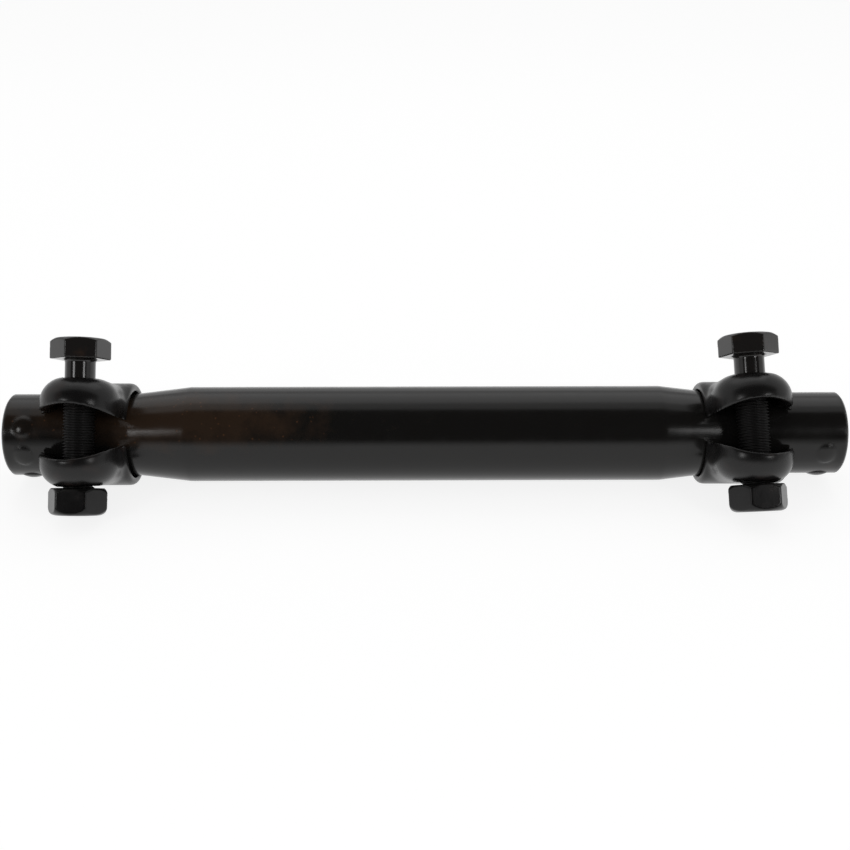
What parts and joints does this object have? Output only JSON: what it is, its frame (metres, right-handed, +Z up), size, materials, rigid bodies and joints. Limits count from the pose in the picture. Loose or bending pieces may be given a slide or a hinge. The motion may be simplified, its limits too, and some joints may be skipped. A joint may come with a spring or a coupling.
{
  "type": "tie rod adjusting sleeve",
  "caption": "Steel adjusting sleeve for a tie rod: a tube with necked, slotted, threaded ends of opposite hand, and a domed-ear clamp with bolt and nut round each.",
  "frame": {"origin": "on the sleeve's axis, half way between its two ends", "axes": "+X along the sleeve to the end with the right-hand thread, +Z up from the surface that it lies on, -Y to the side that the clamp ears point to"},
  "size_m": [0.266, 0.0524, 0.055],
  "materials": {
    "blackened_tube": "black phosphate and oil, semi-gloss",
    "blackened_clamp": "black phosphate and oil, semi-gloss",
    "blackened_bolt": "black phosphate and oil, semi-gloss",
    "blackened_nut": "black phosphate and oil, semi-gloss"
  },
  "bodies": {
    "sleeve": {"sleeve_tube": "blackened_tube"},
    "left_clamp": {"left_clamp": "blackened_clamp"},
    "left_bolt": {"left_bolt": "blackened_bolt"},
    "left_nut": {"left_nut": "blackened_nut"},
    "right_clamp": {"right_clamp": "blackened_clamp"},
    "right_bolt": {"right_bolt": "blackened_bolt"},
    "right_nut": {"right_nut": "blackened_nut"}
  },
  "joints": [
    {"name": "left_clamp_swivel", "type": "hinge", "parent": "sleeve", "child": "left_clamp", "pos_m": [-0.1069, 0, 0], "axis": [1, 0, 0], "continuous": true},
    {"name": "left_nut_turn", "type": "hinge", "parent": "left_clamp", "child": "left_nut", "pos_m": [-0.1069, -0.01606, 0.00919], "axis": [0.0122, 0.4967, 0.8678], "range_deg": [0, 1800]},
    {"name": "left_bolt_draw", "type": "slide", "parent": "left_clamp", "child": "left_bolt", "axis": [-0.0122, -0.4967, -0.8678], "range_m": [0, 0.005]},
    {"name": "right_clamp_swivel", "type": "hinge", "parent": "sleeve", "child": "right_clamp", "pos_m": [0.1015, 0, 0], "axis": [1, 0, 0], "continuous": true},
    {"name": "right_nut_turn", "type": "hinge", "parent": "right_clamp", "child": "right_nut", "pos_m": [0.1015, -0.01564, 0.00988], "axis": [-0.0419, 0.5337, 0.8447], "range_deg": [0, 1800]},
    {"name": "right_bolt_draw", "type": "slide", "parent": "right_clamp", "child": "right_bolt", "axis": [0.0419, -0.5337, -0.8447], "range_m": [0, 0.005]}
  ],
  "couplings": [
    {"joint": "left_nut_turn", "follows": "left_bolt_draw", "rad_per_m": 6283.2},
    {"joint": "right_nut_turn", "follows": "right_bolt_draw", "rad_per_m": 6283.2}
  ]
}
